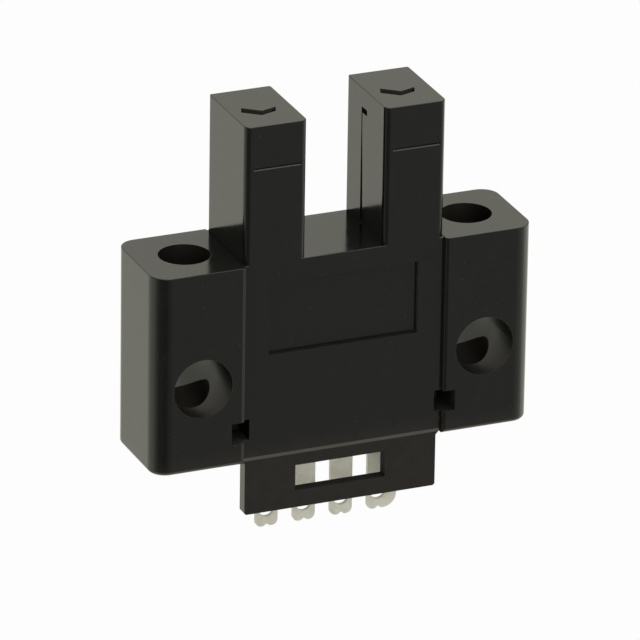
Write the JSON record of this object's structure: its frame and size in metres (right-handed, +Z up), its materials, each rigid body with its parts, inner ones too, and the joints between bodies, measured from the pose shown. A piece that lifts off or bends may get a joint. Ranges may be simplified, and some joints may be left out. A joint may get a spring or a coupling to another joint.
{
  "type": "slotted optical switch",
  "caption": "Black slotted optical switch: two sensing posts over a flange with crossing screw holes, a front skirt with a window, and flat tinned solder terminals below.",
  "frame": {"origin": "middle of the line between the two front-to-back screw holes, on the rear mounting face", "axes": "+X to the right across both wings, -Y out of the front with the panel recess and skirt, +Z up along the sensing posts"},
  "size_m": [0.0254, 0.0068, 0.0285],
  "materials": {
    "black_pbt": "moulded black, semi gloss",
    "black_pc": "moulded black, semi gloss",
    "smoked_window": "dark infrared-pass plastic, polished",
    "clear_epoxy": "clear moulded resin",
    "dark_epoxy": "dark moulded resin",
    "board": "solder-masked laminate",
    "red_lens": "tinted clear resin",
    "chip_black": "matt black",
    "ceramic": "matt ceramic",
    "base_resin": "matt black resin",
    "tin": "tin-plated brass, dull"
  },
  "bodies": {
    "root": {"mounting_flange": "black_pbt", "sensor_housing": "black_pc", "emitter_window": "smoked_window", "receiver_window": "smoked_window", "emitter_led": "clear_epoxy", "emitter_leads": "tin", "photo_ic": "dark_epoxy", "photo_ic_leads": "tin", "circuit_board": "board", "indicator_led": "red_lens", "led_resistor": "chip_black", "bypass_capacitor": "ceramic", "output_transistor": "chip_black", "terminal_base": "base_resin", "terminal_plus": "tin", "terminal_select": "tin", "terminal_output": "tin", "terminal_minus": "tin"}
  },
  "joints": []
}
